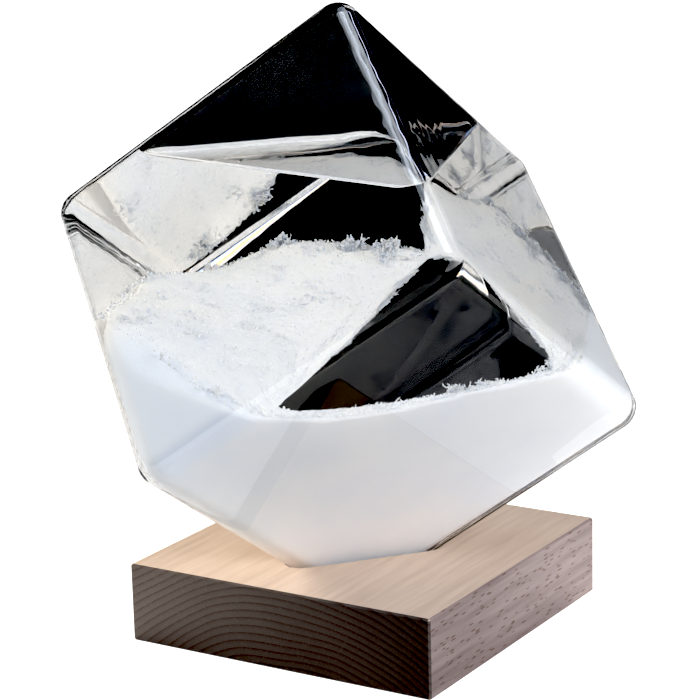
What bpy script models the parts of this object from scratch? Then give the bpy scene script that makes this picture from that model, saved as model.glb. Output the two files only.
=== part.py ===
"""Storm glass: a sealed glass cube of camphor solution that stands on one corner in a beech block.

Metres, +Z up. The origin lies on the cube's upright body diagonal, in the plane that the block's
pads stand on. The block's sides run along X and Y. The cube lifts straight up out of its pocket.
"""

import math

import bmesh
import bpy
from mathutils import Matrix, Vector

# Glass cube, before and after its edges are rounded.
CUBE_EDGE = 0.080
CUBE_ROUNDING = 0.0052
WALL = 0.0020
CAVITY_ROUNDING = 0.0034
CUBE_TURN = math.radians(21.0)  # azimuth of the first edge that rises from the lowest corner
SINK = 0.0167  # depth of the unrounded lowest corner below the block's top

# Beech block, and how far the pocket was cut from the block's middle.
BLOCK_SIDE = 0.0742
BLOCK_HEIGHT = 0.0174
BLOCK_ARRIS = 0.0004
BLOCK_OFFSET = (0.0020, 0.0030)
POCKET_RELIEF_RADIUS = 0.0060
POCKET_FLOOR = 0.0030  # height of the relief's flat floor

# Anti-slip pads, let into the underside.
PAD_RADIUS = 0.0040
PAD_THICKNESS = 0.0012
PAD_PROUD = 0.0004
PAD_INSET = 0.0090

# Fill hole in the lowest corner, its plug and the resin over it.
FILL_HOLE_RADIUS = 0.0025
PLUG_LENGTH = 0.0013
SEAL_RADIUS = 0.0036
SEAL_THICKNESS = 0.0011

# What the cube holds: heights of the three layers' boundaries on the cube's axis.
CRYSTAL_TOP = 0.0565
GROWTH_TOP = 0.0625
LIQUID_LEVEL = 0.1040

GAP = 0.0003  # clearance between neighbouring meshes
MARGIN = 0.0020  # how far a cutter reaches past what it cuts

BLOCK_TOP = PAD_PROUD + BLOCK_HEIGHT
LOW_CORNER = BLOCK_TOP - SINK  # height of the unrounded lowest corner
CUBE_CENTRE = LOW_CORNER + CUBE_EDGE * math.sqrt(3) / 2
CAVITY_EDGE = CUBE_EDGE - 2 * WALL


def corner_round_centre(edge, rounding):
    """Height of the centre of the sphere that rounds the lowest corner of a cube of this edge."""
    return CUBE_CENTRE - (edge / 2 - rounding) * math.sqrt(3)


def cube_axes():
    """Rotation whose columns are the three edges that rise from the lowest corner."""
    edges = []
    for k in range(3):
        turn = CUBE_TURN + k * math.tau / 3
        flat = math.sqrt(2 / 3)
        edges.append(Vector((flat * math.cos(turn), flat * math.sin(turn), math.sqrt(1 / 3))))
    return Matrix(edges).transposed()


def material(name, colour, roughness, metallic=0.0, transmission=0.0, ior=1.45, alpha=1.0):
    """Principled material with these values."""
    mat = bpy.data.materials.new(name)
    mat.use_nodes = True
    shader = mat.node_tree.nodes["Principled BSDF"]
    shader.inputs["Base Color"].default_value = (*colour, 1.0)
    shader.inputs["Roughness"].default_value = roughness
    shader.inputs["Metallic"].default_value = metallic
    shader.inputs["Transmission Weight"].default_value = transmission
    shader.inputs["IOR"].default_value = ior
    shader.inputs["Alpha"].default_value = alpha
    mat.diffuse_color = (*colour, alpha)
    return mat


def add_object(name, mesh, mat=None, parent=None):
    """Link a new object that shows this mesh, with an optional material and parent."""
    obj = bpy.data.objects.new(name, mesh)
    bpy.context.scene.collection.objects.link(obj)
    if mat:
        mesh.materials.append(mat)
    if parent:
        obj.parent = parent
    return obj


def as_guide(obj):
    """Mark an object as a cutter: drawn as wire and left out of the model."""
    obj.hide_render = True
    obj.display_type = "WIRE"
    return obj


def add_bevel(obj, width, segments):
    """Round all edges of an object's mesh."""
    bevel = obj.modifiers.new("Rounding", "BEVEL")
    bevel.width = width
    bevel.segments = segments
    bevel.limit_method = "NONE"
    bevel.harden_normals = True
    return bevel


def add_boolean(obj, other, operation="DIFFERENCE"):
    """Cut an object with another, or keep only what they share."""
    boolean = obj.modifiers.new(other.name, "BOOLEAN")
    boolean.operation = operation
    boolean.solver = "EXACT"
    boolean.object = other
    return boolean


def box_mesh(name, size):
    """Box of this size about its own centre."""
    bm = bmesh.new()
    bmesh.ops.create_cube(bm, size=1.0)
    bmesh.ops.scale(bm, verts=bm.verts, vec=size)
    mesh = bpy.data.meshes.new(name)
    bm.to_mesh(mesh)
    bm.free()
    return mesh


def cylinder_mesh(name, radius, bottom, top, segments=40):
    """Upright cylinder on the Z axis between two heights."""
    bm = bmesh.new()
    bmesh.ops.create_cone(
        bm, cap_ends=True, segments=segments, radius1=radius, radius2=radius, depth=top - bottom
    )
    bmesh.ops.translate(bm, verts=bm.verts, vec=(0, 0, (top + bottom) / 2))
    mesh = bpy.data.meshes.new(name)
    bm.to_mesh(mesh)
    bm.free()
    mesh.shade_smooth()
    mesh.set_sharp_from_angle(angle=math.radians(35))
    return mesh


def turned_mesh(name, profile, segments=40):
    """Closed solid of revolution from (radius, height) points that start and end on the axis."""
    bm = bmesh.new()
    ring = [bm.verts.new((radius, 0, height)) for radius, height in profile]
    edges = [bm.edges.new(pair) for pair in zip(ring, ring[1:])]
    bmesh.ops.spin(
        bm,
        geom=ring + edges,
        axis=(0, 0, 1),
        cent=(0, 0, 0),
        angle=math.tau,
        steps=segments,
        use_merge=True,
    )
    bmesh.ops.remove_doubles(bm, verts=bm.verts, dist=1e-6)
    bmesh.ops.recalc_face_normals(bm, faces=bm.faces)
    mesh = bpy.data.meshes.new(name)
    bm.to_mesh(mesh)
    bm.free()
    mesh.shade_smooth()
    mesh.set_sharp_from_angle(angle=math.radians(35))
    return mesh


def rounded_cube(name, edge, rounding, segments, mat=None, parent=None):
    """Cube of this edge with round edges, standing on one corner about the cube's centre."""
    mesh = box_mesh(name, (edge, edge, edge))
    mesh.shade_smooth()
    obj = add_object(name, mesh, mat, parent)
    obj.rotation_euler = cube_axes().to_euler()
    obj.location = (0, 0, CUBE_CENTRE - (parent.location.z if parent else 0))
    add_bevel(obj, rounding, segments)
    return obj


def beech_material():
    """Pale, oiled beech."""
    return material("beech", (0.62, 0.44, 0.31), 0.55)


def glass_material():
    """Clear blown glass."""
    return material("clear_glass", (0.95, 0.97, 0.98), 0.02, transmission=1.0, ior=1.5, alpha=0.35)


def liquid_material():
    """Clear camphor solution."""
    return material("storm_liquid", (0.86, 0.89, 0.92), 0.02, transmission=0.9, ior=1.37, alpha=0.5)


def bed_material():
    """Packed white crystals."""
    return material("packed_crystals", (0.86, 0.88, 0.90), 0.8)


def growth_material():
    """Loose feathery crystals."""
    return material("loose_crystals", (0.93, 0.94, 0.95), 0.7)


def silicone_material():
    """Milky silicone."""
    return material("milky_silicone", (0.80, 0.80, 0.77), 0.45)


def resin_material():
    """Clear set resin."""
    return material("clear_resin", (0.88, 0.87, 0.80), 0.15, transmission=0.6)


def pad_material():
    """Grey anti-slip rubber."""
    return material("grey_rubber", (0.30, 0.29, 0.28), 0.85)


def pad_centres():
    """Places of the pads, one near each corner of the block."""
    reach = BLOCK_SIDE / 2 - PAD_INSET
    x_mid, y_mid = BLOCK_OFFSET
    return [(x_mid + sx * reach, y_mid + sy * reach) for sx, sy in ((-1, -1), (1, -1), (1, 1), (-1, 1))]


def make_base():
    """Square block with a three-sided pocket that takes the cube's lowest corner."""
    block = add_object(
        "wooden_base", box_mesh("wooden_base", (BLOCK_SIDE, BLOCK_SIDE, BLOCK_HEIGHT)), beech_material()
    )
    block.location = (*BLOCK_OFFSET, PAD_PROUD + BLOCK_HEIGHT / 2)
    add_bevel(block, BLOCK_ARRIS, 1)
    pocket = rounded_cube("pocket_cutter", CUBE_EDGE + 2 * GAP, CUBE_ROUNDING + GAP, 4)
    add_boolean(block, as_guide(pocket))
    relief = add_object(
        "relief_cutter",
        cylinder_mesh("relief_cutter", POCKET_RELIEF_RADIUS, POCKET_FLOOR, BLOCK_TOP),
    )
    add_boolean(block, as_guide(relief))
    recess_top = PAD_THICKNESS + GAP
    for number, (x, y) in enumerate(pad_centres(), 1):
        name = f"pad_recess_cutter_{number}"
        recess = add_object(name, cylinder_mesh(name, PAD_RADIUS + GAP, -MARGIN, recess_top, 28))
        recess.location = (x, y, 0)
        add_boolean(block, as_guide(recess))
    return block


def make_pads():
    """Four thin round pads that stand a little proud of the underside."""
    mat = pad_material()
    for number, (x, y) in enumerate(pad_centres(), 1):
        name = f"base_pad_{number}"
        pad = add_object(name, cylinder_mesh(name, PAD_RADIUS, 0, PAD_THICKNESS, 28), mat)
        pad.location = (x, y, 0)


def make_glass(lift):
    """Hollow cube of even wall, open only at the fill hole in its lowest corner."""
    glass = rounded_cube("glass_cube", CUBE_EDGE, CUBE_ROUNDING, 4, glass_material(), lift)
    cavity = rounded_cube("cavity_cutter", CAVITY_EDGE, CAVITY_ROUNDING, 3)
    add_boolean(glass, as_guide(cavity))
    hole_top = corner_round_centre(CAVITY_EDGE, CAVITY_ROUNDING)
    hole = add_object(
        "fill_hole_cutter",
        cylinder_mesh("fill_hole_cutter", FILL_HOLE_RADIUS, LOW_CORNER, hole_top, 32),
    )
    add_boolean(glass, as_guide(hole))
    return glass


def make_plug(lift):
    """Silicone plug pressed into the fill hole, flush with the cavity's floor."""
    cavity_floor = corner_round_centre(CAVITY_EDGE, CAVITY_ROUNDING) - CAVITY_ROUNDING
    top = cavity_floor - GAP / 2 - lift.location.z
    mesh = cylinder_mesh("fill_plug", FILL_HOLE_RADIUS - GAP, top - PLUG_LENGTH, top, 32)
    plug = add_object("fill_plug", mesh, silicone_material(), lift)
    bevel = add_bevel(plug, 0.0003, 2)
    bevel.limit_method = "ANGLE"
    return plug


def make_seal(lift):
    """Bowl of set resin that follows the rounded corner and closes the fill hole over the plug."""
    centre = corner_round_centre(CUBE_EDGE, CUBE_ROUNDING) - lift.location.z
    inner = CUBE_ROUNDING + GAP
    outer = inner + SEAL_THICKNESS
    stub = FILL_HOLE_RADIUS - GAP
    cavity_floor = corner_round_centre(CAVITY_EDGE, CAVITY_ROUNDING) - CAVITY_ROUNDING
    stub_top = cavity_floor - GAP / 2 - lift.location.z - PLUG_LENGTH - GAP
    steps = 6
    profile = [(0, stub_top), (stub, stub_top)]
    for k in range(steps + 1):
        radius = stub + (SEAL_RADIUS - stub) * k / steps
        profile.append((radius, centre - math.sqrt(inner**2 - radius**2)))
    for k in range(steps + 1):
        radius = SEAL_RADIUS * (1 - k / steps)
        profile.append((radius, centre - math.sqrt(outer**2 - radius**2)))
    return add_object("plug_seal", turned_mesh("plug_seal", profile), resin_material(), lift)


def settled_relief(x, y):
    """Height of the crystals' surface above or below its mean, higher at the front than at the back."""
    slope = 0.06 * x - 0.07 * y
    swell = 0.0022 * math.sin(95 * x + 1.1) * math.cos(80 * y - 0.4)
    ripple = 0.0010 * math.sin(210 * x - 150 * y)
    return slope + swell + ripple


def packed_surface(x, y):
    """Top of the packed crystals."""
    return CRYSTAL_TOP + settled_relief(x, y)


def growth_surface(x, y):
    """Top of the loose crystals, which stand tallest towards the back."""
    return GROWTH_TOP + 1.25 * settled_relief(x, y) + 0.0012 * math.sin(260 * y + 120 * x)


def cavity_floor_level(x, y):
    """Flat level below the cavity's floor."""
    return LOW_CORNER


def liquid_level(x, y):
    """Level top of the liquid."""
    return LIQUID_LEVEL


def layer_mesh(name, lower, upper, lift_height):
    """Round slab between two surfaces, wider than the cube, which the cavity then trims.

    It starts a gap above its lower surface, so that it stays clear of the layer below.
    """
    rings, spokes, reach = 10, 36, 0.066
    bm = bmesh.new()
    sheets = []
    for surface, clearance in ((lower, GAP), (upper, 0)):
        drop = lift_height - clearance
        centre = bm.verts.new((0, 0, surface(0, 0) - drop))
        rows = []
        for ring in range(1, rings + 1):
            row = []
            for spoke in range(spokes):
                turn = math.tau * spoke / spokes
                radius = reach * ring / rings
                x, y = radius * math.cos(turn), radius * math.sin(turn)
                row.append(bm.verts.new((x, y, surface(x, y) - drop)))
            rows.append(row)
        for spoke in range(spokes):
            after = (spoke + 1) % spokes
            bm.faces.new((centre, rows[0][spoke], rows[0][after]))
            for inner, outer in zip(rows, rows[1:]):
                bm.faces.new((inner[spoke], outer[spoke], outer[after]))
                bm.faces.new((inner[spoke], outer[after], inner[after]))
        sheets.append(rows[-1])
    low, high = sheets
    for spoke in range(spokes):
        after = (spoke + 1) % spokes
        bm.faces.new((low[spoke], low[after], high[after], high[spoke]))
    bmesh.ops.recalc_face_normals(bm, faces=bm.faces)
    mesh = bpy.data.meshes.new(name)
    bm.to_mesh(mesh)
    bm.free()
    return mesh


def make_contents(lift):
    """Packed crystals, loose crystals and clear liquid, stacked in the cavity from its floor up."""
    edge = CAVITY_EDGE - 2 * GAP
    space = as_guide(rounded_cube("contents_cutter", edge, CAVITY_ROUNDING - GAP, 3))
    layers = (
        ("crystal_bed", cavity_floor_level, packed_surface, bed_material()),
        ("crystal_growth", packed_surface, growth_surface, growth_material()),
        ("storm_liquid", growth_surface, liquid_level, liquid_material()),
    )
    for name, lower, upper, mat in layers:
        mesh = layer_mesh(name, lower, upper, lift.location.z)
        layer = add_object(name, mesh, mat, lift)
        add_boolean(layer, space, "INTERSECT")


def make_lift_axis():
    """Empty on the upright axis along which the glass lifts out of the block."""
    lift = bpy.data.objects.new("glass_lift_axis", None)
    lift.location = (0, 0, BLOCK_TOP)
    lift.empty_display_size = 0.02
    bpy.context.scene.collection.objects.link(lift)
    return lift


def main():
    """Clear the scene, then build the block and what stands in it."""
    for obj in list(bpy.data.objects):
        bpy.data.objects.remove(obj)
    make_base()
    make_pads()
    lift = make_lift_axis()
    make_glass(lift)
    make_plug(lift)
    make_seal(lift)
    make_contents(lift)
    bpy.context.view_layer.update()


main()
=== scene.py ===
"""Looks of the storm glass: a glass cube of clear liquid and snow-like crystals on a beech block."""

import math

import bmesh
import bpy
import numpy as np
from mathutils import Matrix, Vector, noise


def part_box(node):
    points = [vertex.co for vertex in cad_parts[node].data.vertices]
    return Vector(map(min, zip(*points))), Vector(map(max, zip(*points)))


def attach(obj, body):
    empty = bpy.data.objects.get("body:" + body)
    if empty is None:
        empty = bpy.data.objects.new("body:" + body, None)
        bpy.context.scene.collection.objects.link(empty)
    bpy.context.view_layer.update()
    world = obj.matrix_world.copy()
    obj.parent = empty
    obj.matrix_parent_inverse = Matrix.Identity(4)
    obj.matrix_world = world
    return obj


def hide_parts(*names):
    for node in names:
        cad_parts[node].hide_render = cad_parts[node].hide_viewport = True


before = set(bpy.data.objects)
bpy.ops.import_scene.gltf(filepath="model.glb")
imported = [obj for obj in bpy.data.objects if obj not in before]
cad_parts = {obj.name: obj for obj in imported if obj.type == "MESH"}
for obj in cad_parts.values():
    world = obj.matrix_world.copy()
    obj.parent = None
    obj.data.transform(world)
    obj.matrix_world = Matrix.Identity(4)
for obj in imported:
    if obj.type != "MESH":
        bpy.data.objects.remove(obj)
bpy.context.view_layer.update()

# Cube: its turn about +Z, its outer and inner edges' rounding, its wall, and the hole it was filled through.
CUBE_TURN = math.radians(21.0)
OUTER_ROUNDING = 0.0052
INNER_ROUNDING = 0.0034
WALL = 0.0020
FILL_HOLE_RADIUS = 0.0025
FILL_HOLE_LENGTH = 0.016
FILL_HOLE_SIDES = 48

# Clear things: how strongly glass and liquid bend light, and their faint tint.
GLASS_IOR = 1.50
LIQUID_IOR = 1.365
CLEAR_TINT = (0.995, 0.998, 1.0)

# Unevenness of the blown glass, each as its depth, its pitch and the seed of its noise.
OUTER_RIPPLE = (0.000012, 0.018, 3)
GENTLE_RIPPLE = (0.00004, 0.014, 1)
EDGE_RIPPLE = (0.00015, 0.0045, 2)
FINE_RIPPLE = (0.00005, 0.0020, 4)
CRUMPLED_RIPPLE = (0.00007, 0.0024, 8)

# Liquid's edge: how high it climbs the glass, how far in, how sharply, and where its rings lie.
MENISCUS_HEIGHT = 0.0018
MENISCUS_REACH = 0.0011
MENISCUS_BEND = 0.75
MENISCUS_RINGS = (
    0.0008, 0.002, 0.004, 0.0075, 0.015, 0.027, 0.042, 0.062, 0.09, 0.13, 0.19, 0.28, 0.42, 0.62, 0.82
)

# Gaps from the glass to the liquid and the crystals, so that their surfaces never coincide.
LIQUID_INSET = 0.00002
CRYSTAL_INSET = 0.00025

# Quads along an edge of the outer and the inner surface, and round half of a rounding.
OUTER_STEPS = 18
WALL_STEPS = 80
ROUND_STEPS = 8
CUT_TOLERANCE = 1e-7

# Camera.
LENS = 128.92
SENSOR_WIDTH = 36.0
AZIMUTH = math.radians(31.83)
ELEVATION = math.radians(14.21)
ROLL = math.radians(-1.465)
CAMERA_PLACE = Vector((0.27611, -0.44345, 0.19362))
BLACK_LEVEL = 0.085

# Lamps as name, place, width and height, watts and colour. The glass shows only the one overhead.
HIDDEN_LAMPS = (
    ("key", (-0.60, -0.15, 0.52), (0.30, 0.26), 5.2, (1.0, 0.93, 0.80)),
    ("side", (0.64, -0.14, 0.28), (0.30, 0.30), 4.3, (0.97, 0.98, 1.0)),
    ("front", (0.10, -0.80, 0.55), (0.40, 0.40), 0.9, (1.0, 1.0, 1.0)),
    ("back", (0.06, 0.80, 0.16), (0.50, 0.30), 1.3, (0.95, 0.97, 1.0)),
)
OVERHEAD_LAMP = ("overhead", (0.12, 0.24, 0.75), (0.28, 0.20), 0.45, (0.86, 0.92, 1.0))
LAMP_TARGET = (0.0, 0.0, 0.06)

# Surroundings: the floor's half width and glow, the world's colours below and above, its white, and the
# half angle and soft edge of the white disc that outer reflections show.
FLOOR_HALF = 3.0
FLOOR_GLOW = 4.2
WORLD_LOW = (0.10, 0.10, 0.10)
WORLD_HIGH = (0.20, 0.215, 0.24)
WORLD_WHITE = (1.1, 1.1, 1.1)
WHITE_BEHIND = math.radians(22.0)
WHITE_EDGE = math.radians(6.0)

# Cards: how much higher each layer on the floor lies, and how many degrees one quad of an arc spans.
CARD_LAYER = 0.0002
CARD_STEP = 6

# Crystals' top: its level, then each drift or hollow as its place, rise and spread.
CRYSTAL_LEVEL = 0.0632
DRIFTS = (
    ((-0.036, -0.040), 0.0085, 0.022),
    ((-0.050, 0.042), -0.0120, 0.014),
    ((0.020, -0.036), -0.0038, 0.018),
    ((0.035, 0.030), 0.0025, 0.020),
    ((0.004, -0.004), -0.0035, 0.020),
)

# How widely the top rounds over into the sides: at the left walls, front and back, and elsewhere.
FRONT_BANK = 0.0120
BACK_BANK = 0.0060
CREST = 0.0008

# Roughness of the top, each as its depth, its pitch and the seed of its noise, and how far below it fades.
LUMPS = (0.00025, 0.0050, 5)
GRIT = (0.00020, 0.0013, 6)
ROUGH_DEPTH = 0.004

# Packed crystals' mesh: the point it is spread from, its fineness, and a reach that stays within the cavity
# and one that leaves the cube. Then how the search for the walls and the top steps, and how far a point that
# ends up in the wall is pulled back, as shares of what is left.
MASS_MIDDLE = np.array([0.0, 0.0, 0.045])
MASS_DETAIL = 7
NEAR_REACH = 0.012
FAR_REACH = 0.120
WALL_STRIDES = 60
STRIDE_SHARE = 0.9
TOP_HALVINGS = 30
PULL_BACK = 1.3

# Loose crystals: tries at placing a cluster, on a square of this half width, the heights they grow to, how
# clumps vary, how far from a wall they thin out, and a grain's radii, spacing in radii and gap to the wall.
SEED = 7
TRIES = 90000
TRIES_HALF = 0.064
TALL_GROWTH = 0.0044
LOW_GROWTH = 0.0009
CLUMP_PITCH = 0.0065
CLUMP_SEED = 11
WALL_DECAY = 0.0020
GRAIN_RADII = (0.00009, 0.00021)
GRAIN_STRIDE = 1.1
GRAIN_GAP = 0.0001


# ---------------------------------------------------------------- the cube's own frame


def cube_axes():
    """The three edge directions that rise from the cube's lowest corner, as rows."""
    flat, rise = math.sqrt(2 / 3), math.sqrt(1 / 3)
    turns = [CUBE_TURN + k * math.tau / 3 for k in range(3)]
    return np.array([(flat * math.cos(t), flat * math.sin(t), rise) for t in turns])


AXES = cube_axes()


def measure_cube():
    """Edge and centre of the CAD cube, from how far its vertices reach along the edge directions."""
    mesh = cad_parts["glass_cube"].data
    points = np.empty(len(mesh.vertices) * 3)
    mesh.vertices.foreach_get("co", points)
    reach = points.reshape(-1, 3) @ AXES.T
    low, high = reach.min(0), reach.max(0)
    return float((high - low).mean()), ((high + low) / 2) @ AXES


CUBE_EDGE, CUBE_CENTRE = measure_cube()
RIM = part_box("storm_liquid")[1].z
LEVEL = RIM - MENISCUS_HEIGHT
BLOCK_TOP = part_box("wooden_base")[1].z


def to_world(local):
    """World places of points given along the cube's axes from its centre."""
    return local @ AXES + CUBE_CENTRE


def cavity_half():
    """Half of the cavity's edge."""
    return CUBE_EDGE / 2 - WALL


# ---------------------------------------------------------------- mesh helpers


def new_object(name, points, faces, smooth=True):
    """Link a mesh object made of these points and faces."""
    mesh = bpy.data.meshes.new(name)
    mesh.from_pydata(np.asarray(points).tolist(), [], [list(f) for f in faces])
    mesh.validate()
    if smooth:
        mesh.shade_smooth()
    obj = bpy.data.objects.new(name, mesh)
    bpy.context.scene.collection.objects.link(obj)
    return obj


def edge_steps(half, rounding, flat_steps, round_steps):
    """Places along a cube's edge: even over the flat, and by equal angles over the rounding."""
    flat = half - rounding
    angles = np.linspace(0, math.pi / 4, round_steps + 1)[1:]
    arc = flat + rounding * np.tan(angles)
    middle = np.linspace(-flat, flat, flat_steps + 1)
    return np.concatenate([-arc[::-1], middle, arc])


def cube_surface(half, rounding, flat_steps, swell):
    """Points, given along the cube's axes, and quads of a round-edged cube moved outward by swell()."""
    steps = edge_steps(half, rounding, flat_steps, ROUND_STEPS)
    count = len(steps)
    sheets, faces = [], []
    for axis in range(3):
        for side in (-1, 1):
            start = len(sheets) * count * count
            sheet = np.empty((count, count, 3))
            first, second = (axis + 1) % 3, (axis + 2) % 3
            sheet[..., axis] = side * half
            sheet[..., first] = steps[:, None] * side
            sheet[..., second] = steps[None, :]
            sheets.append(sheet.reshape(-1, 3))
            for i in range(count - 1):
                for j in range(count - 1):
                    corner = start + i * count + j
                    faces.append((corner, corner + count, corner + count + 1, corner + 1))
    points, inverse = np.unique(np.round(np.concatenate(sheets), 7), axis=0, return_inverse=True)
    core = np.clip(points, -(half - rounding), half - rounding)
    normals = points - core
    normals /= np.linalg.norm(normals, axis=1)[:, None]
    placed = core + normals * rounding
    placed = placed + normals * swell(placed, normals)[:, None]
    return placed, inverse.reshape(-1)[np.array(faces)]


def wave(points, pitch, seed):
    """Smooth noise between about -1 and 1 at each point, with features about this pitch apart."""
    shift = Vector((seed * 3.17, seed * 1.31, seed * 7.43))
    return np.array([noise.noise(Vector(p) / pitch + shift) for p in points])


def ripple(points, kind):
    """Smooth noise of a kind given as its depth, pitch and seed."""
    depth, pitch, seed = kind
    return depth * wave(points, pitch, seed)


def share(values, start, end):
    """How far values have come from a start to an end, from 0 to 1."""
    return np.clip((values - start) / (end - start), 0, 1)


# ---------------------------------------------------------------- node helpers


class Nodes:
    """Short way to add and join the nodes of a world or material."""

    def __init__(self, owner):
        owner.use_nodes = True
        self.tree = owner.node_tree

    def add(self, kind, inputs=None, **settings):
        """New node of this kind. An input is a value or another node's output."""
        node = self.tree.nodes.new("ShaderNode" + kind)
        for key, value in settings.items():
            setattr(node, key, value)
        for key, value in (inputs or {}).items():
            self.put(node.inputs[key], value)
        return node

    def put(self, socket, value):
        """Set a socket to a value, or link an output to it."""
        if isinstance(value, bpy.types.NodeSocket):
            self.tree.links.new(value, socket)
        else:
            socket.default_value = value

    def math(self, operation, *values):
        """Output of a Math node."""
        return self.add("Math", dict(enumerate(values)), operation=operation).outputs[0]

    def ramp(self, factor, *stops):
        """Output of a colour ramp with two (place, colour) stops."""
        node = self.add("ValToRGB", {"Fac": factor})
        for element, (place, colour) in zip(node.color_ramp.elements, stops):
            element.position = place
            element.color = (*colour, 1.0)
        return node.outputs["Color"]

    def mix(self, factor, first, second):
        """Output of a colour Mix node between an output and an output or colour."""
        node = self.add("Mix", data_type="RGBA")
        self.put(node.inputs[0], factor)
        self.put(node.inputs[6], first)
        self.put(node.inputs[7], second if isinstance(second, bpy.types.NodeSocket) else (*second, 1.0))
        return node.outputs[2]

    def bump(self, height, strength, distance):
        """Output of a Bump node."""
        return self.add("Bump", {"Height": height, "Strength": strength, "Distance": distance}).outputs[0]


class MaterialNodes(Nodes):
    """Nodes of a new material, with its Principled shader at hand."""

    def __init__(self, name):
        self.material = bpy.data.materials.new(name)
        super().__init__(self.material)
        self.shader = self.tree.nodes["Principled BSDF"]

    def set(self, **values):
        """Set the Principled shader's sockets, with underscores for spaces."""
        for key, value in values.items():
            self.put(self.shader.inputs[key.replace("_", " ")], value)

    def show(self, shader):
        """Show this shader node in place of the Principled shader."""
        self.put(self.tree.nodes["Material Output"].inputs["Surface"], shader.outputs[0])


def clear_material(name, ior, tint=(1.0, 1.0, 1.0)):
    """Clear refracting surface that shadow rays and matt surfaces' rays go straight through."""
    n = MaterialNodes(name)
    n.set(Base_Color=(*tint, 1.0), Roughness=0.0, Transmission_Weight=1.0, IOR=ior)
    path = n.add("LightPath")
    passes = n.math("MAXIMUM", path.outputs["Is Shadow Ray"], path.outputs["Is Diffuse Ray"])
    through = n.add("BsdfTransparent")
    n.show(n.add("MixShader", {0: passes, 1: n.shader.outputs[0], 2: through.outputs[0]}))
    return n.material


def unseen_material(name):
    """Side of the liquid against the wet glass, where nothing bends or mirrors light."""
    n = MaterialNodes(name)
    n.show(n.add("BsdfTransparent"))
    return n.material


# ---------------------------------------------------------------- glass


def wall_ripple(points, normals):
    """Uneven inner surface: gentle on the faces, livelier beside the edges, crumpled by the ridge."""
    near_edge = np.sort(np.abs(points), axis=1)[:, 1] / np.abs(points).max(axis=1)
    lively = ripple(points, EDGE_RIPPLE) * share(near_edge, 0.75, 1.0)
    fine = ripple(points, FINE_RIPPLE) * share(near_edge, 0.85, 1.0)
    on_right = share(normals[:, 0], 0.8, 1.0)
    by_ridge = share(points[:, 2] / CUBE_EDGE, 0.12, 0.27)
    crumpled = ripple(points * (1.0, 0.45, 1.0), CRUMPLED_RIPPLE) * on_right * by_ridge
    return ripple(points, GENTLE_RIPPLE) + lively + fine + crumpled


def outer_ripple(points, normals):
    """Very slight unevenness of the outer surface, the same whichever way it faces."""
    return ripple(points, OUTER_RIPPLE)


def make_glass():
    """Blown glass cube: outer surface, inner surface split where the liquid wets it, and fill hole."""
    outer, outer_faces = cube_surface(CUBE_EDGE / 2, OUTER_ROUNDING, OUTER_STEPS, outer_ripple)
    inner, inner_faces = cube_surface(cavity_half(), INNER_ROUNDING, WALL_STEPS, wall_ripple)
    inner_faces = inner_faces[:, ::-1] + len(outer)
    points = to_world(np.concatenate([outer, inner]))
    glass = new_object("glass_vessel", points, np.concatenate([outer_faces, inner_faces]))
    glass.data.materials.append(clear_material("clear_glass_dry", GLASS_IOR, CLEAR_TINT))
    glass.data.materials.append(clear_material("clear_glass_wet", GLASS_IOR / LIQUID_IOR))
    wet_below(glass.data, len(outer), RIM)
    cut(glass, bore())
    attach(glass, "glass")
    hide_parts("glass_cube")


def wet_below(mesh, first_inner, height):
    """Cut the inner surface at this height and give what is below it the second material."""
    bm = bmesh.new()
    bm.from_mesh(mesh)
    bm.verts.ensure_lookup_table()
    inner = set(bm.verts[first_inner:])
    faces = [f for f in bm.faces if f.verts[0] in inner]
    edges = {e for f in faces for e in f.edges}
    verts = {v for f in faces for v in f.verts}
    parts = faces + list(edges) + list(verts)
    cut_parts = bmesh.ops.bisect_plane(
        bm, geom=parts, dist=CUT_TOLERANCE, plane_co=(0, 0, height), plane_no=(0, 0, 1)
    )
    for part in cut_parts["geom"]:
        if isinstance(part, bmesh.types.BMFace) and part.calc_center_median().z < height:
            part.material_index = 1
    bm.to_mesh(mesh)
    bm.free()


def bore():
    """Upright cylinder about the cube's axis that cuts the fill hole."""
    bm = bmesh.new()
    bmesh.ops.create_cone(
        bm,
        cap_ends=True,
        segments=FILL_HOLE_SIDES,
        radius1=FILL_HOLE_RADIUS,
        radius2=FILL_HOLE_RADIUS,
        depth=FILL_HOLE_LENGTH,
    )
    bmesh.ops.translate(bm, verts=bm.verts, vec=(0, 0, BLOCK_TOP - FILL_HOLE_LENGTH / 2))
    mesh = bpy.data.meshes.new("glass_bore")
    bm.to_mesh(mesh)
    bm.free()
    obj = bpy.data.objects.new("glass_bore", mesh)
    bpy.context.scene.collection.objects.link(obj)
    return obj


def cut(obj, cutter):
    """Cut one object with another, then remove the cutter."""
    boolean = obj.modifiers.new("Cut", "BOOLEAN")
    boolean.object = cutter
    boolean.operation = "DIFFERENCE"
    depsgraph = bpy.context.evaluated_depsgraph_get()
    made = bpy.data.meshes.new_from_object(obj.evaluated_get(depsgraph))
    obj.modifiers.clear()
    obj.data = made
    bpy.data.objects.remove(cutter)


# ---------------------------------------------------------------- liquid


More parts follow.
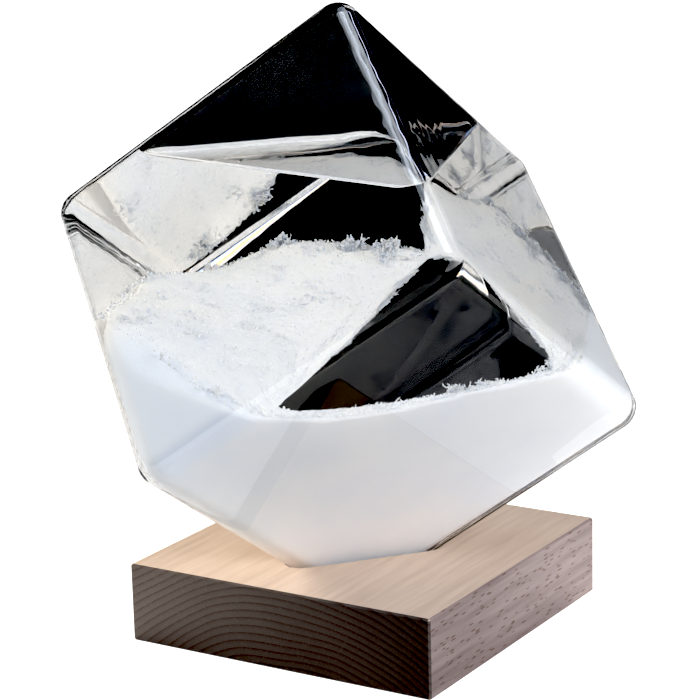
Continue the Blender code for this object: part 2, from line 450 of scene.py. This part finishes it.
def make_liquid():
    """Clear solution up to its level, with a meniscus that climbs the glass."""
    points, faces = cube_surface(cavity_half() - LIQUID_INSET, INNER_ROUNDING, WALL_STEPS, wall_ripple)
    liquid = new_object("camphor_solution", to_world(points), faces)
    liquid.data.materials.append(clear_material("liquid_surface", LIQUID_IOR, CLEAR_TINT))
    liquid.data.materials.append(unseen_material("liquid_side"))
    bm = bmesh.new()
    bm.from_mesh(liquid.data)
    for face in bm.faces:
        face.material_index = 1
    parts = bm.verts[:] + bm.edges[:] + bm.faces[:]
    bmesh.ops.bisect_plane(
        bm, geom=parts, dist=CUT_TOLERANCE, plane_co=(0, 0, RIM), plane_no=(0, 0, 1), clear_outer=True
    )
    add_meniscus(bm)
    bm.to_mesh(liquid.data)
    bm.free()
    liquid.data.shade_smooth()
    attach(liquid, "glass")
    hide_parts("storm_liquid")


def add_meniscus(bm):
    """Close a mesh's open top with rings that sink from the rim to the level."""
    loop = ordered_loop([e for e in bm.edges if e.is_boundary])
    inradius = min(math.hypot(v.co.x, v.co.y) for v in loop)
    rings = [loop]
    for inward in MENISCUS_RINGS:
        depth = inward * inradius
        height = LEVEL + MENISCUS_HEIGHT * math.exp(-((depth / MENISCUS_REACH) ** MENISCUS_BEND))
        rings.append([bm.verts.new((v.co.x * (1 - inward), v.co.y * (1 - inward), height)) for v in loop])
    middle = bm.verts.new((0, 0, LEVEL))
    count = len(loop)
    for upper, lower in zip(rings, rings[1:]):
        for i in range(count):
            j = (i + 1) % count
            bm.faces.new((upper[i], upper[j], lower[j], lower[i]))
    for i in range(count):
        bm.faces.new((rings[-1][i], rings[-1][(i + 1) % count], middle))
    bmesh.ops.recalc_face_normals(bm, faces=bm.faces)


def ordered_loop(edges):
    """Vertices of a closed loop of edges, in order and counterclockwise seen from above."""
    after = {}
    for edge in edges:
        for vert in edge.verts:
            after.setdefault(vert, []).append(edge.other_vert(vert))
    start = edges[0].verts[0]
    loop = [start]
    last, here = None, start
    while True:
        step = [v for v in after[here] if v is not last][0]
        if step is start:
            break
        loop.append(step)
        last, here = here, step
    area = sum(a.co.x * b.co.y - b.co.x * a.co.y for a, b in zip(loop, loop[1:] + loop[:1]))
    return loop if area > 0 else loop[::-1]


# ---------------------------------------------------------------- crystals


def cavity_distance(points, half, rounding):
    """Signed distance of world points from the wall of a round-edged cube, negative inside."""
    local = np.abs((points - CUBE_CENTRE) @ AXES.T) - (half - rounding)
    outside = np.linalg.norm(np.maximum(local, 0), axis=1)
    inside = np.minimum(local.max(axis=1), 0)
    return outside + inside - rounding


def surface_height(x, y):
    """Height of the crystals' top: nearly level, with drifts and hollows by the walls."""
    height = np.full(np.shape(x), CRYSTAL_LEVEL)
    for (x_mid, y_mid), rise, spread in DRIFTS:
        away = (x - x_mid) ** 2 + (y - y_mid) ** 2
        height += rise * np.exp(-away / (2 * spread**2))
    return height


def smooth_least(first, second, width):
    """Lesser of two arrays, rounded over where they differ by less than a width."""
    closeness = np.maximum(width - np.abs(first - second), 0) / width
    return np.minimum(first, second) - closeness**2 * width / 4


def reach_to_wall(directions, half):
    """How far each direction goes from the mass's middle to the cavity's wall."""
    reach = np.full(len(directions), NEAR_REACH)
    for _ in range(WALL_STRIDES):
        places = MASS_MIDDLE + directions * reach[:, None]
        reach = reach - cavity_distance(places, half, INNER_ROUNDING) * STRIDE_SHARE
    return reach


def reach_to_top(directions):
    """How far each direction goes from the mass's middle to the crystals' top, or past the cube."""
    low, high = np.zeros(len(directions)), np.full(len(directions), FAR_REACH)
    for _ in range(TOP_HALVINGS):
        reach = (low + high) / 2
        places = MASS_MIDDLE + directions * reach[:, None]
        above = places[:, 2] > surface_height(places[:, 0], places[:, 1])
        high = np.where(above, reach, high)
        low = np.where(above, low, reach)
    return high


def bank_width(places, half):
    """How widely the top rounds over into the side at each place on the wall."""
    from_centre = places - CUBE_CENTRE
    front = share(from_centre @ AXES[2] / half, 0.70, 0.95)
    front *= share(from_centre @ AXES[1] / half, -0.98, -0.53)
    back = share(-from_centre @ AXES[0] / half, 0.70, 0.95)
    return CREST + np.maximum((FRONT_BANK - CREST) * front, (BACK_BANK - CREST) * back)


def make_crystal_mass():
    """Body of packed crystals that fills the lower part of the cavity under a rough top."""
    bm = bmesh.new()
    bmesh.ops.create_icosphere(bm, subdivisions=MASS_DETAIL, radius=1.0)
    directions = np.array([v.co[:] for v in bm.verts])
    directions /= np.linalg.norm(directions, axis=1)[:, None]
    half = cavity_half() - CRYSTAL_INSET
    to_wall, to_top = reach_to_wall(directions, half), reach_to_top(directions)
    width = bank_width(MASS_MIDDLE + directions * to_wall[:, None], half)
    reach = smooth_least(to_wall, to_top, width)
    places = MASS_MIDDLE + directions * reach[:, None]
    on_top = np.clip(1 - (to_top - reach) / ROUGH_DEPTH, 0, 1)
    places[:, 2] += on_top * (ripple(places, LUMPS) + ripple(places, GRIT))
    outside = cavity_distance(places, half, INNER_ROUNDING)
    places -= directions * np.maximum(outside, 0)[:, None] * PULL_BACK
    for vert, place in zip(bm.verts, places):
        vert.co = place
    mesh = bpy.data.meshes.new("crystal_mass")
    bm.to_mesh(mesh)
    bm.free()
    mesh.shade_smooth()
    mass = bpy.data.objects.new("crystal_mass", mesh)
    bpy.context.scene.collection.objects.link(mass)
    mesh.materials.append(packed_material())
    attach(mass, "glass")
    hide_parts("crystal_bed")


def packed_material():
    """Soft white crystals, with painted bluish shade near the front left wall, and rough where they lie
    level.
    """
    n = MaterialNodes("packed_snow")
    place = n.add("TexCoord").outputs["Object"]
    coarse = n.add("TexNoise", {"Vector": place, "Scale": 45.0, "Detail": 4.0}).outputs["Fac"]
    fine = n.add("TexNoise", {"Vector": place, "Scale": 1400.0, "Detail": 3.0}).outputs["Fac"]
    shaded, white, painted_shade_blue = (0.80, 0.83, 0.88), (0.87, 0.88, 0.89), (0.76, 0.82, 0.93)
    colour = n.ramp(coarse, (0.3, shaded), (0.65, white))
    # Painted shade: bluish grey laid over the crystals that lie within 6 mm of the front left wall.
    along = n.add("VectorMath", {0: place, 1: tuple(AXES[2])}, operation="DOT_PRODUCT").outputs["Value"]
    wall = float(CUBE_CENTRE @ AXES[2]) + cavity_half()
    painted_shade_share = n.add("MapRange", {"Value": along, "From Min": wall - 0.006, "From Max": wall - 0.001})
    n.set(Base_Color=n.mix(painted_shade_share.outputs[0], colour, painted_shade_blue), Roughness=0.8, Specular_IOR_Level=0.15)
    up = n.add("SeparateXYZ", {0: n.add("NewGeometry").outputs["Normal"]}).outputs[2]
    loose = n.add("MapRange", {"Value": up, "From Min": 0.62, "From Max": 0.85, "To Max": 0.6}).outputs[0]
    n.set(Normal=n.bump(fine, loose, 0.0004))
    n.set(Subsurface_Weight=0.6, Subsurface_Radius=(1.0, 1.0, 1.0), Subsurface_Scale=0.006)
    return n.material


def cluster_seeds(rng):
    """Starts of clusters on the top, each with the height it may reach: tall at the back wall alone."""
    seeds = rng.uniform(-TRIES_HALF, TRIES_HALF, (TRIES, 2))
    places = np.column_stack([seeds, surface_height(seeds[:, 0], seeds[:, 1])])
    half = cavity_half()
    local = (places - CUBE_CENTRE) @ AXES.T
    wall_gap = -cavity_distance(places, half, INNER_ROUNDING)
    right_gap, front_gap, back_gap = half - local[:, 0], half + local[:, 1], half + local[:, 2]
    vigour = np.clip(0.20 + 1.7 * wave(places * (1, 1, 0), CLUMP_PITCH, CLUMP_SEED), 0.12, 1.3)
    tall_chance = np.exp(-back_gap / WALL_DECAY) * 0.75
    by_front = np.clip(1.0 - front_gap / 0.012, 0.12, 0.30)
    low_chance = np.maximum(by_front, np.exp(-right_gap / WALL_DECAY) * 0.60)
    chance = rng.random(len(seeds))
    height = np.where(chance < tall_chance, TALL_GROWTH * vigour, 0.0)
    height = np.where((height == 0) & (chance < low_chance), LOW_GROWTH * vigour, height)
    keep = (wall_gap > 0.0005) & (height > 0)
    return places[keep], height[keep]


def grow_clusters(rng):
    """Centres and radii of grains strung into small feathery clusters."""
    centres, radii = [], []
    for start, height in zip(*cluster_seeds(rng)):
        tips = [(start, rng.normal(0, 0.7, 3) + (0, 0, 0.8), height * rng.uniform(0.3, 1.5))]
        while tips:
            place, heading, left = tips.pop()
            while left > 0:
                heading = heading + rng.normal(0, 0.45, 3) + (0, 0, 0.05)
                heading /= np.linalg.norm(heading)
                radius = rng.uniform(*GRAIN_RADII)
                place = place + heading * radius * GRAIN_STRIDE
                centres.append(place)
                radii.append(radius)
                left -= radius * GRAIN_STRIDE
                if left > 0.0003 and rng.random() < 0.30:
                    tips.append((place, heading + rng.normal(0, 1.3, 3), left * rng.uniform(0.3, 0.8)))
    return np.array(centres), np.array(radii)


def make_crystal_grains():
    """Loose growth: branching clusters along the back wall and small ones elsewhere."""
    rng = np.random.default_rng(SEED)
    places, radii = grow_clusters(rng)
    inside = cavity_distance(places, cavity_half(), INNER_ROUNDING) < -radii - GRAIN_GAP
    grains = new_object("crystal_grains", *grain_mesh(rng, places[inside], radii[inside]), smooth=False)
    grains.data.materials.append(grain_material())
    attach(grains, "glass")
    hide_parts("crystal_growth")


def grain_mesh(rng, places, radii):
    """Points and faces of one irregular eight-sided crystal at each place."""
    corners = np.array([(1, 0, 0), (0, 1, 0), (-1, 0, 0), (0, -1, 0), (0, 0, 1), (0, 0, -1)], float)
    sides = [(0, 1, 4), (1, 2, 4), (2, 3, 4), (3, 0, 4), (1, 0, 5), (2, 1, 5), (3, 2, 5), (0, 3, 5)]
    count = len(places)
    first = rng.normal(size=(count, 3))
    first /= np.linalg.norm(first, axis=1)[:, None]
    second = np.cross(first, rng.normal(size=(count, 3)))
    second /= np.linalg.norm(second, axis=1)[:, None]
    third = np.cross(first, second)
    frames = np.stack([first, second, third], axis=1)
    frames *= radii[:, None, None] * rng.uniform(0.7, 1.35, (count, 3, 1))
    cloud = np.einsum("pk,nkd->npd", corners, frames) + places[:, None, :]
    faces = np.array(sides)[None] + len(corners) * np.arange(count)[:, None, None]
    return cloud.reshape(-1, 3), faces.reshape(-1, 3)


def grain_material():
    """Frosty single crystals that pass on the light."""
    n = MaterialNodes("frost_grains")
    place = n.add("TexCoord").outputs["Object"]
    tone = n.add("TexNoise", {"Vector": place, "Scale": 700.0, "Detail": 1.0}).outputs["Fac"]
    cool, white = (0.86, 0.89, 0.94), (0.98, 0.98, 0.97)
    colour = n.ramp(tone, (0.35, cool), (0.65, white))
    n.set(Base_Color=colour, Roughness=0.22, Specular_IOR_Level=0.5)
    glow = n.add("BsdfTranslucent", {"Color": colour})
    n.show(n.add("MixShader", {0: 0.5, 1: n.shader.outputs[0], 2: glow.outputs[0]}))
    return n.material


# ---------------------------------------------------------------- wood and hidden parts


def planed_top(n, streak, broad):
    """Colour of the block's top: pale, with streaks along the grain."""
    darker, paler, warm = (0.67, 0.53, 0.44), (0.80, 0.655, 0.545), (0.66, 0.48, 0.36)
    return n.mix(n.math("MULTIPLY", broad, 0.25), n.ramp(streak, (0.3, darker), (0.7, paler)), warm)


def flecked_side(n, streak, fleck):
    """Colour of the block's long sides: streaks along the grain, with the short dark flecks of beech, on a
    base far darker than the top that is partly painted shade.
    """
    # Partly painted shade: these base colours are kept far darker than the top's, so that the sides look
    # shaded.
    darker, paler, brown = (0.245, 0.195, 0.187), (0.355, 0.29, 0.28), (0.13, 0.075, 0.055)
    return n.mix(n.math("MULTIPLY", fleck, 0.75), n.ramp(streak, (0.3, darker), (0.7, paler)), brown)


def end_grain(n, place):
    """Colour of the block's ends: growth rings about a line along Y under the block, clouds and pores. The
    ends are darker wood and also carry painted shade.
    """
    heart_x, heart_z, ring_pitch, wobble_size = 0.006, -0.043, 0.0016, 0.0060
    # Partly painted shade: these ring colours are darker than the end grain's own tone, to stand in for the
    # shade on the ends.
    early, late = (0.178, 0.158, 0.150), (0.096, 0.080, 0.073)
    cloud_tone, pore_tone = (0.140, 0.122, 0.115), (0.21, 0.185, 0.175)
    split = n.add("SeparateXYZ", {0: place})
    across = n.math("SUBTRACT", split.outputs[0], heart_x)
    upward = n.math("SUBTRACT", split.outputs[2], heart_z)
    square = n.math("ADD", n.math("POWER", across, 2.0), n.math("POWER", upward, 2.0))
    wobble = n.add("TexNoise", {"Vector": place, "Scale": 25.0, "Detail": 2.0}).outputs["Fac"]
    radius = n.math("ADD", n.math("SQRT", square), n.math("MULTIPLY", wobble, wobble_size))
    ring = n.math("POWER", n.math("FRACT", n.math("MULTIPLY", radius, 1 / ring_pitch)), 4.0)
    clouds = n.add("TexNoise", {"Vector": place, "Scale": 160.0, "Detail": 4.0}).outputs["Fac"]
    colour = n.mix(n.math("MULTIPLY", clouds, 0.5), n.ramp(ring, (0.0, early), (1.0, late)), cloud_tone)
    pores = n.add("TexNoise", {"Vector": place, "Scale": 2600.0, "Detail": 2.0}).outputs["Fac"]
    return n.mix(n.math("MULTIPLY", n.math("GREATER_THAN", pores, 0.60), 0.35), colour, pore_tone)


def wood_material():
    """Beech with its grain along Y: dark end grain, flecked sides and a pale planed top, with painted shade
    in the colours of the ends and sides.
    """
    n = MaterialNodes("oiled_beech")
    place = n.add("TexCoord").outputs["Object"]
    drawn_out = n.add("Mapping", {"Vector": place, "Scale": (1.0, 0.06, 1.0)}).outputs[0]
    streak = n.add("TexNoise", {"Vector": drawn_out, "Scale": 700.0, "Detail": 5.0}).outputs["Fac"]
    broad = n.add("TexNoise", {"Vector": drawn_out, "Scale": 90.0, "Detail": 3.0}).outputs["Fac"]
    fleck_way = n.add("Mapping", {"Vector": place, "Scale": (1.0, 0.16, 1.0)}).outputs[0]
    cells = n.add("TexVoronoi", {"Vector": fleck_way, "Scale": 1400.0}).outputs["Distance"]
    fleck = n.math("LESS_THAN", cells, 0.22)

    facing = n.add("SeparateXYZ", {0: n.add("NewGeometry").outputs["Normal"]})
    is_side = n.math("GREATER_THAN", n.math("ABSOLUTE", facing.outputs[0]), 0.6)
    is_end = n.math("GREATER_THAN", n.math("ABSOLUTE", facing.outputs[1]), 0.6)
    colour = n.mix(is_side, planed_top(n, streak, broad), flecked_side(n, streak, fleck))
    n.set(Base_Color=n.mix(is_end, colour, end_grain(n, place)), Roughness=0.55, Specular_IOR_Level=0.35)
    height = n.math("SUBTRACT", streak, n.math("MULTIPLY", fleck, 0.6))
    n.set(Normal=n.bump(height, 0.35, 0.00015))
    return n.material


def speckled_material(name, colour, roughness, pitch, depth):
    """Moulded material with a slight tone and surface variation."""
    n = MaterialNodes(name)
    place = n.add("TexCoord").outputs["Object"]
    tone = n.add("TexNoise", {"Vector": place, "Scale": 1 / pitch, "Detail": 4.0}).outputs["Fac"]
    darker = tuple(c * 0.82 for c in colour)
    n.set(Base_Color=n.ramp(tone, (0.3, darker), (0.7, colour)), Roughness=roughness)
    n.set(Normal=n.bump(tone, 0.4, depth))
    return n.material


def dress_cad_nodes():
    """Finish the CAD nodes that stay."""
    set_material("wooden_base", wood_material())
    pad = speckled_material("pad_rubber", (0.24, 0.23, 0.22), roughness=0.85, pitch=0.0006, depth=0.0001)
    for number in range(1, 5):
        set_material(f"base_pad_{number}", pad)
    plug = speckled_material("milky_silicone", (0.82, 0.82, 0.79), roughness=0.4, pitch=0.0015, depth=0.00005)
    set_material("fill_plug", plug)
    resin = speckled_material("set_resin", (0.72, 0.70, 0.60), roughness=0.15, pitch=0.002, depth=0.00008)
    set_material("plug_seal", resin)


def set_material(node, material):
    """Give a CAD node one material."""
    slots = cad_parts[node].data.materials
    slots.clear()
    slots.append(material)


# ---------------------------------------------------------------- studio


def look_at(place, target):
    """Rotation that turns an object's -Z from a place to a target."""
    return (Vector(target) - Vector(place)).to_track_quat("-Z", "Y").to_euler()


def area_light(name, place, size, watts, colour):
    """Soft rectangular lamp that shines on the object."""
    data = bpy.data.lights.new(name, "AREA")
    data.shape = "RECTANGLE"
    data.size, data.size_y = size
    data.energy = watts
    data.color = colour
    lamp = bpy.data.objects.new(name, data)
    lamp.location = place
    lamp.rotation_euler = look_at(place, LAMP_TARGET)
    bpy.context.scene.collection.objects.link(lamp)
    return lamp


def flat_material(name, colour, strength=0.0):
    """Stage card: matt, or glowing."""
    n = MaterialNodes(name)
    n.set(Base_Color=(*colour, 1.0), Roughness=0.9, Specular_IOR_Level=0.0)
    if strength:
        n.set(Emission_Color=(*colour, 1.0), Emission_Strength=strength)
    return n.material


def make_floor():
    """Pale floor that only the camera sees."""
    far = FLOOR_HALF
    corners = [(-far, -far, 0), (far, -far, 0), (far, far, 0), (-far, far, 0)]
    floor = new_object("floor", corners, [(0, 1, 2, 3)], False)
    floor.data.materials.append(flat_material("floor_pale", (0.30, 0.30, 0.30), FLOOR_GLOW))
    floor.visible_glossy = False
    floor.visible_transmission = False
    floor.visible_diffuse = False


def make_lamps():
    """Soft lamps: those that the glass doesn't show, and the one overhead that it does."""
    for lamp_settings in HIDDEN_LAMPS:
        lamp = area_light(*lamp_settings)
        lamp.visible_glossy = False
        lamp.visible_transmission = False
    area_light(*OVERHEAD_LAMP)


def make_cards():
    """Cards that only the glass shows, and two that only light matt surfaces. Higher layers cover lower."""
    grey = flat_material("card_grey", (0.5, 0.5, 0.51), 1.0)
    white = flat_material("card_white", (0.9, 0.9, 0.9), 1.0)
    black = flat_material("card_black", (0.0, 0.0, 0.0))
    overhead = flat_material("card_overhead", (0.80, 0.88, 1.0), 3.5)
    hung_card("card_overhead", (0.12, 0.24, 0.76), (0.12, 0.24, 0.0), (0.44, 0.34), overhead)
    floor_card("card_near", (0.0, 0.17), (0, 360), 2, grey)
    floor_card("card_floor_left", (0.17, 0.50), (148, 262), 2, grey)
    floor_card("card_far_left", (0.50, 1.00), (150, 178), 2, grey)
    bounce_card("card_bounce_front", (222, 264), 1.2)
    bounce_card("card_bounce_back", (-5, 160), 0.7)
    mirrored = floor_card("card_front", (0.17, 0.60), (255, 305), 2, white)
    mirrored.visible_transmission = False
    floor_card("card_right", (0.06, 0.45), (22, 74), 3, white)
    floor_card("card_behind", (0.0, 0.13), (74, 146), 4, black)
    sky = flat_material("card_sky", (0.72, 0.78, 1.0), 0.6)
    hung_card("card_sky", (0.06, 0.70, 0.53), (0.0, 0.0, 0.11), (0.30, 0.08), sky)
    make_fringe()


def bounce_card(name, azimuths, strength):
    """Floor card beside the block that lights the crystals' underside, and that glass doesn't show."""
    warm_white = flat_material(name, (1.0, 0.97, 0.93), strength)
    card = floor_card(name, (0.05, 0.15), azimuths, 1, warm_white)
    card.visible_diffuse = True
    card.visible_glossy = False
    card.visible_transmission = False


def make_fringe():
    """Blue, white and orange strips on the floor behind, which tint the line of the cube's back edge."""
    nearest, width, glow = 0.129, 0.010, 0.9
    colours = ((0.40, 0.58, 1.0), (0.95, 0.96, 1.0), (1.0, 0.62, 0.34))
    for k, colour in enumerate(colours):
        name = f"card_fringe_{k + 1}"
        inner = nearest + width * k
        floor_card(name, (inner, inner + width), (95, 130), 4, flat_material(name, colour, glow))


def floor_card(name, radii, azimuths, layer, material):
    """Level ring or sector between two radii and two azimuths in degrees counterclockwise from +X."""
    start, end = azimuths
    steps = max(3, round((end - start) / CARD_STEP))
    points, faces = [], []
    for k in range(steps + 1):
        turn = math.radians(start + (end - start) * k / steps)
        points += [(r * math.cos(turn), r * math.sin(turn), layer * CARD_LAYER) for r in radii]
    for k in range(steps):
        faces.append((2 * k, 2 * k + 1, 2 * k + 3, 2 * k + 2))
    card = new_object(name, points, faces, False)
    card.data.materials.append(material)
    show_in_glass_only(card)
    return card


def hung_card(name, place, target, size, material):
    """Card in the air that faces a target."""
    across, high = size[0] / 2, size[1] / 2
    corners = [(-across, -high, 0), (across, -high, 0), (across, high, 0), (-across, high, 0)]
    card = new_object(name, corners, [(0, 1, 2, 3)], False)
    card.location = place
    card.rotation_euler = look_at(place, target)
    card.data.materials.append(material)
    show_in_glass_only(card)


def show_in_glass_only(card):
    """Hide a card, which belongs to the stage, from the camera and from matt surfaces."""
    card.visible_camera = False
    card.visible_diffuse = False
    card.visible_shadow = False


def make_world():
    """White for the camera, a soft gradient for matt surfaces, and darkness for rays that come through glass.
    Outer reflections show darkness too, but for a white disc behind the object."""
    world = bpy.data.worlds.new("studio")
    n = Nodes(world)
    path = n.add("LightPath").outputs
    heading = n.add("TexCoord").outputs["Generated"]
    up = n.add("SeparateXYZ", {0: heading}).outputs[2]
    rise = n.add("MapRange", {"Value": up, "From Min": -1.0}).outputs[0]
    soft = n.tree.nodes["Background"]
    n.put(soft.inputs["Color"], n.ramp(rise, (0.0, WORLD_LOW), (1.0, WORLD_HIGH)))
    n.put(soft.inputs["Strength"], path["Is Diffuse Ray"])
    white = n.add("Background", {"Color": (*WORLD_WHITE, 1.0)})
    ahead = n.add("VectorMath", {0: heading, 1: view_direction()}, operation="DOT_PRODUCT").outputs["Value"]
    edge, full = math.cos(WHITE_BEHIND + WHITE_EDGE), math.cos(WHITE_BEHIND)
    disc = n.add("MapRange", {"Value": ahead, "From Min": edge, "From Max": full}).outputs[0]
    rays = {0: path["Is Glossy Ray"], 1: path["Is Transmission Ray"]}
    mirrored = n.add("Math", rays, operation="SUBTRACT", use_clamp=True).outputs[0]
    bright = n.math("MULTIPLY_ADD", mirrored, disc, path["Is Camera Ray"])
    picked = n.add("MixShader", {0: bright, 1: soft.outputs[0], 2: white.outputs[0]})
    n.put(n.tree.nodes["World Output"].inputs["Surface"], picked.outputs[0])
    bpy.context.scene.world = world


def view_direction():
    """Where the photograph's camera looks."""
    level = math.cos(ELEVATION)
    return Vector((-math.sin(AZIMUTH) * level, math.cos(AZIMUTH) * level, -math.sin(ELEVATION)))


def make_camera():
    """Camera at the photograph's angle."""
    data = bpy.data.cameras.new("camera")
    data.lens = LENS
    data.sensor_width = SENSOR_WIDTH
    camera = bpy.data.objects.new("camera", data)
    bpy.context.scene.collection.objects.link(camera)
    turn = view_direction().to_track_quat("-Z", "Y").to_matrix()
    roll = Matrix.Rotation(ROLL, 3, "Z")
    camera.matrix_world = Matrix.Translation(CAMERA_PLACE) @ (turn @ roll).to_4x4()
    bpy.context.scene.camera = camera


def set_tracing():
    """Enough bounces for light to pass the glass, and plain colour with deeper blacks."""
    scene = bpy.context.scene
    cycles = scene.cycles
    cycles.max_bounces = 24
    cycles.transmission_bounces = 24
    cycles.glossy_bounces = 12
    cycles.diffuse_bounces = 4
    cycles.transparent_max_bounces = 32
    cycles.sample_clamp_indirect = 4.0
    scene.view_settings.view_transform = "Standard"
    scene.view_settings.use_curve_mapping = True
    scene.view_settings.curve_mapping.black_level = (BLACK_LEVEL,) * 3


make_camera()
make_floor()
make_lamps()
make_cards()
make_world()
make_glass()
make_liquid()
make_crystal_mass()
make_crystal_grains()
dress_cad_nodes()
set_tracing()
